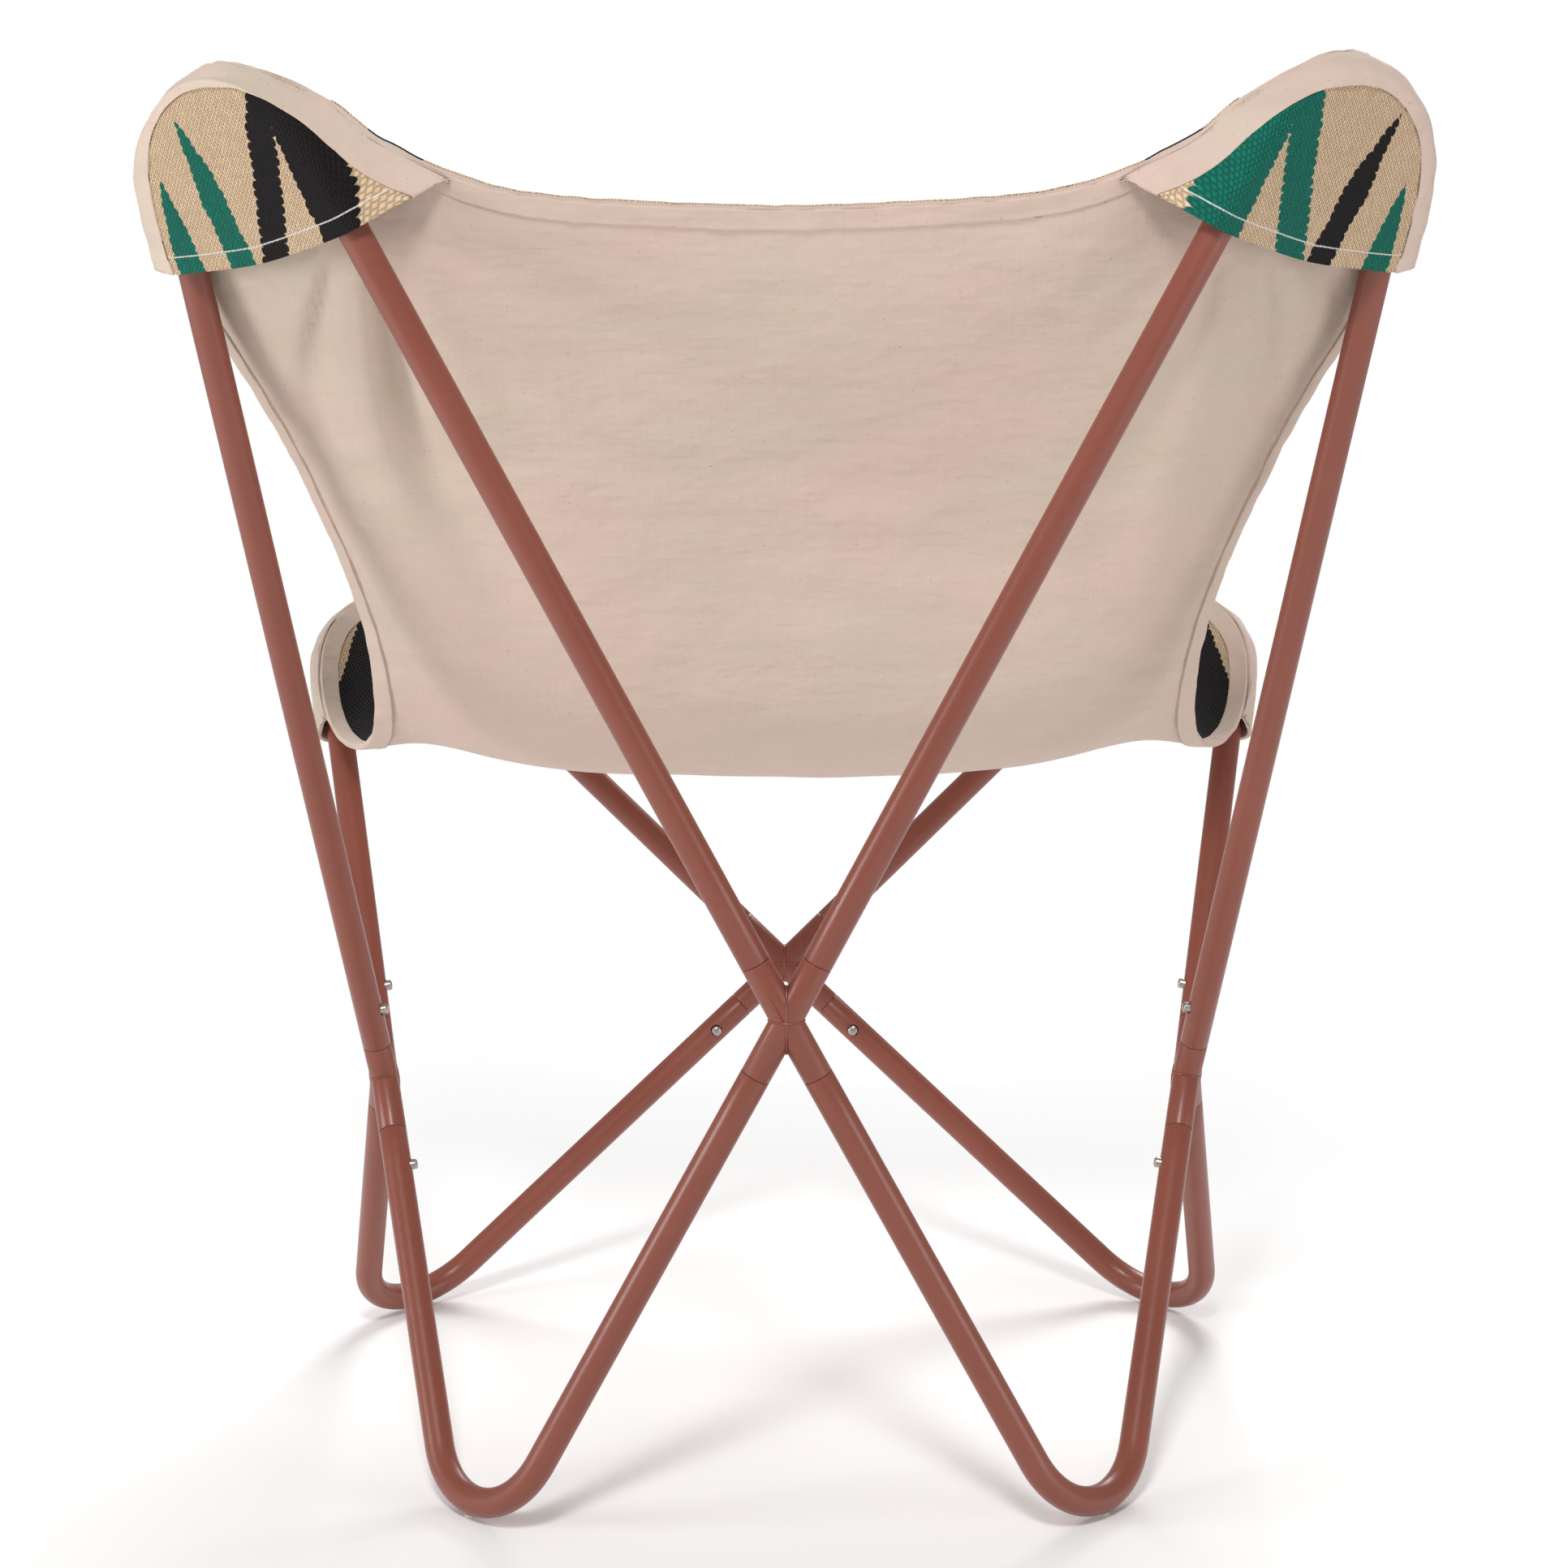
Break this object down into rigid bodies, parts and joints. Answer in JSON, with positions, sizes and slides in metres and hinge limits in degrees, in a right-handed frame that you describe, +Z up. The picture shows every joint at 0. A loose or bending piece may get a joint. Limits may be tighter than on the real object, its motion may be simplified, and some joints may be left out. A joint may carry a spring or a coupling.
{
  "type": "butterfly sling chair",
  "caption": "Butterfly lounge chair: terracotta bent-tube triangular loops on crossed connectors, with a kilim-faced canvas sling hung from its upper tips by sewn pockets.",
  "frame": {"origin": "centre of the bounding box's footprint, on the floor", "axes": "+Z up, +X towards the sitter's left, -Y towards the front of the chair"},
  "size_m": [0.7856, 0.5886, 0.9162],
  "materials": {
    "frame_paint": "satin terracotta powder coat",
    "button_steel": "plain steel",
    "spring_steel": "plain spring steel",
    "glide_plastic": "milky nylon",
    "canvas": "plain woven cotton canvas",
    "kilim": "flat-woven wool, cream with black and teal stripes"
  },
  "bodies": {
    "frame": {"tube_back_top_left": "frame_paint", "tube_back_top_right": "frame_paint", "tube_front_top_left": "frame_paint", "tube_front_top_right": "frame_paint", "tube_back_foot_left": "frame_paint", "tube_back_foot_right": "frame_paint", "tube_front_foot_left": "frame_paint", "tube_front_foot_right": "frame_paint", "connector_back": "frame_paint", "connector_front": "frame_paint", "connector_left": "frame_paint", "connector_right": "frame_paint", "clip_back_top_left_in": "spring_steel", "clip_back_top_left_out": "spring_steel", "clip_back_top_right_in": "spring_steel", "clip_back_top_right_out": "spring_steel", "clip_front_top_left_in": "spring_steel", "clip_front_top_left_out": "spring_steel", "clip_front_top_right_in": "spring_steel", "clip_front_top_right_out": "spring_steel", "clip_back_foot_left_in": "spring_steel", "clip_back_foot_left_out": "spring_steel", "clip_back_foot_right_in": "spring_steel", "clip_back_foot_right_out": "spring_steel", "clip_front_foot_left_in": "spring_steel", "clip_front_foot_left_out": "spring_steel", "clip_front_foot_right_in": "spring_steel", "clip_front_foot_right_out": "spring_steel", "glide_back_left": "glide_plastic", "glide_back_right": "glide_plastic", "glide_front_left": "glide_plastic", "glide_front_right": "glide_plastic", "sling_canvas": "canvas", "sling_kilim": "kilim", "binding_top": "canvas", "binding_right": "canvas", "binding_front": "canvas", "binding_left": "canvas", "pocket_back_left": "kilim", "pocket_back_right": "kilim", "pocket_front_left": "kilim", "pocket_front_right": "kilim"},
    "button_back_top_left_in_body": {"button_back_top_left_in": "button_steel"},
    "button_back_top_left_out_body": {"button_back_top_left_out": "button_steel"},
    "button_back_top_right_in_body": {"button_back_top_right_in": "button_steel"},
    "button_back_top_right_out_body": {"button_back_top_right_out": "button_steel"},
    "button_front_top_left_in_body": {"button_front_top_left_in": "button_steel"},
    "button_front_top_left_out_body": {"button_front_top_left_out": "button_steel"},
    "button_front_top_right_in_body": {"button_front_top_right_in": "button_steel"},
    "button_front_top_right_out_body": {"button_front_top_right_out": "button_steel"},
    "button_back_foot_left_in_body": {"button_back_foot_left_in": "button_steel"},
    "button_back_foot_left_out_body": {"button_back_foot_left_out": "button_steel"},
    "button_back_foot_right_in_body": {"button_back_foot_right_in": "button_steel"},
    "button_back_foot_right_out_body": {"button_back_foot_right_out": "button_steel"},
    "button_front_foot_left_in_body": {"button_front_foot_left_in": "button_steel"},
    "button_front_foot_left_out_body": {"button_front_foot_left_out": "button_steel"},
    "button_front_foot_right_in_body": {"button_front_foot_right_in": "button_steel"},
    "button_front_foot_right_out_body": {"button_front_foot_right_out": "button_steel"}
  },
  "joints": [
    {"name": "button_back_top_left_in_press", "type": "slide", "parent": "frame", "child": "button_back_top_left_in_body", "axis": [0.0027, -1, 0.005], "range_m": [-0.0045, 0], "stiffness_N_per_m": 800, "springref_m": 0.003, "deforming": ["clip_back_top_left_in"]},
    {"name": "button_back_top_left_out_press", "type": "slide", "parent": "frame", "child": "button_back_top_left_out_body", "axis": [-0.9871, 0.1053, 0.1206], "range_m": [-0.0045, 0], "stiffness_N_per_m": 800, "springref_m": 0.003, "deforming": ["clip_back_top_left_out"]},
    {"name": "button_back_top_right_in_press", "type": "slide", "parent": "frame", "child": "button_back_top_right_in_body", "axis": [-0.0027, -1, 0.005], "range_m": [-0.0045, 0], "stiffness_N_per_m": 800, "springref_m": 0.003, "deforming": ["clip_back_top_right_in"]},
    {"name": "button_back_top_right_out_press", "type": "slide", "parent": "frame", "child": "button_back_top_right_out_body", "axis": [0.9871, 0.1053, 0.1206], "range_m": [-0.0045, 0], "stiffness_N_per_m": 800, "springref_m": 0.003, "deforming": ["clip_back_top_right_out"]},
    {"name": "button_front_top_left_in_press", "type": "slide", "parent": "frame", "child": "button_front_top_left_in_body", "axis": [0.1149, 0.9875, 0.1083], "range_m": [-0.0045, 0], "stiffness_N_per_m": 800, "springref_m": 0.003, "deforming": ["clip_front_top_left_in"]},
    {"name": "button_front_top_left_out_press", "type": "slide", "parent": "frame", "child": "button_front_top_left_out_body", "axis": [-0.9845, -0.0738, 0.1593], "range_m": [-0.0045, 0], "stiffness_N_per_m": 800, "springref_m": 0.003, "deforming": ["clip_front_top_left_out"]},
    {"name": "button_front_top_right_in_press", "type": "slide", "parent": "frame", "child": "button_front_top_right_in_body", "axis": [-0.1149, 0.9875, 0.1083], "range_m": [-0.0045, 0], "stiffness_N_per_m": 800, "springref_m": 0.003, "deforming": ["clip_front_top_right_in"]},
    {"name": "button_front_top_right_out_press", "type": "slide", "parent": "frame", "child": "button_front_top_right_out_body", "axis": [0.9845, -0.0738, 0.1593], "range_m": [-0.0045, 0], "stiffness_N_per_m": 800, "springref_m": 0.003, "deforming": ["clip_front_top_right_out"]},
    {"name": "button_back_foot_left_in_press", "type": "slide", "parent": "frame", "child": "button_back_foot_left_in_body", "axis": [-0.0066, -0.9999, 0.0123], "range_m": [-0.0045, 0], "stiffness_N_per_m": 800, "springref_m": 0.003, "deforming": ["clip_back_foot_left_in"]},
    {"name": "button_back_foot_left_out_press", "type": "slide", "parent": "frame", "child": "button_back_foot_left_out_body", "axis": [-0.9812, -0.0874, 0.1723], "range_m": [-0.0045, 0], "stiffness_N_per_m": 800, "springref_m": 0.003, "deforming": ["clip_back_foot_left_out"]},
    {"name": "button_back_foot_right_in_press", "type": "slide", "parent": "frame", "child": "button_back_foot_right_in_body", "axis": [0.0066, -0.9999, 0.0123], "range_m": [-0.0045, 0], "stiffness_N_per_m": 800, "springref_m": 0.003, "deforming": ["clip_back_foot_right_in"]},
    {"name": "button_back_foot_right_out_press", "type": "slide", "parent": "frame", "child": "button_back_foot_right_out_body", "axis": [0.9812, -0.0874, 0.1723], "range_m": [-0.0045, 0], "stiffness_N_per_m": 800, "springref_m": 0.003, "deforming": ["clip_back_foot_right_out"]},
    {"name": "button_front_foot_left_in_press", "type": "slide", "parent": "frame", "child": "button_front_foot_left_in_body", "axis": [-0.1177, 0.9872, 0.1073], "range_m": [-0.0045, 0], "stiffness_N_per_m": 800, "springref_m": 0.003, "deforming": ["clip_front_foot_left_in"]},
    {"name": "button_front_foot_left_out_press", "type": "slide", "parent": "frame", "child": "button_front_foot_left_out_body", "axis": [-0.9898, -0.0201, -0.141], "range_m": [-0.0045, 0], "stiffness_N_per_m": 800, "springref_m": 0.003, "deforming": ["clip_front_foot_left_out"]},
    {"name": "button_front_foot_right_in_press", "type": "slide", "parent": "frame", "child": "button_front_foot_right_in_body", "axis": [0.1177, 0.9872, 0.1073], "range_m": [-0.0045, 0], "stiffness_N_per_m": 800, "springref_m": 0.003, "deforming": ["clip_front_foot_right_in"]},
    {"name": "button_front_foot_right_out_press", "type": "slide", "parent": "frame", "child": "button_front_foot_right_out_body", "axis": [0.9898, -0.0201, -0.141], "range_m": [-0.0045, 0], "stiffness_N_per_m": 800, "springref_m": 0.003, "deforming": ["clip_front_foot_right_out"]}
  ]
}
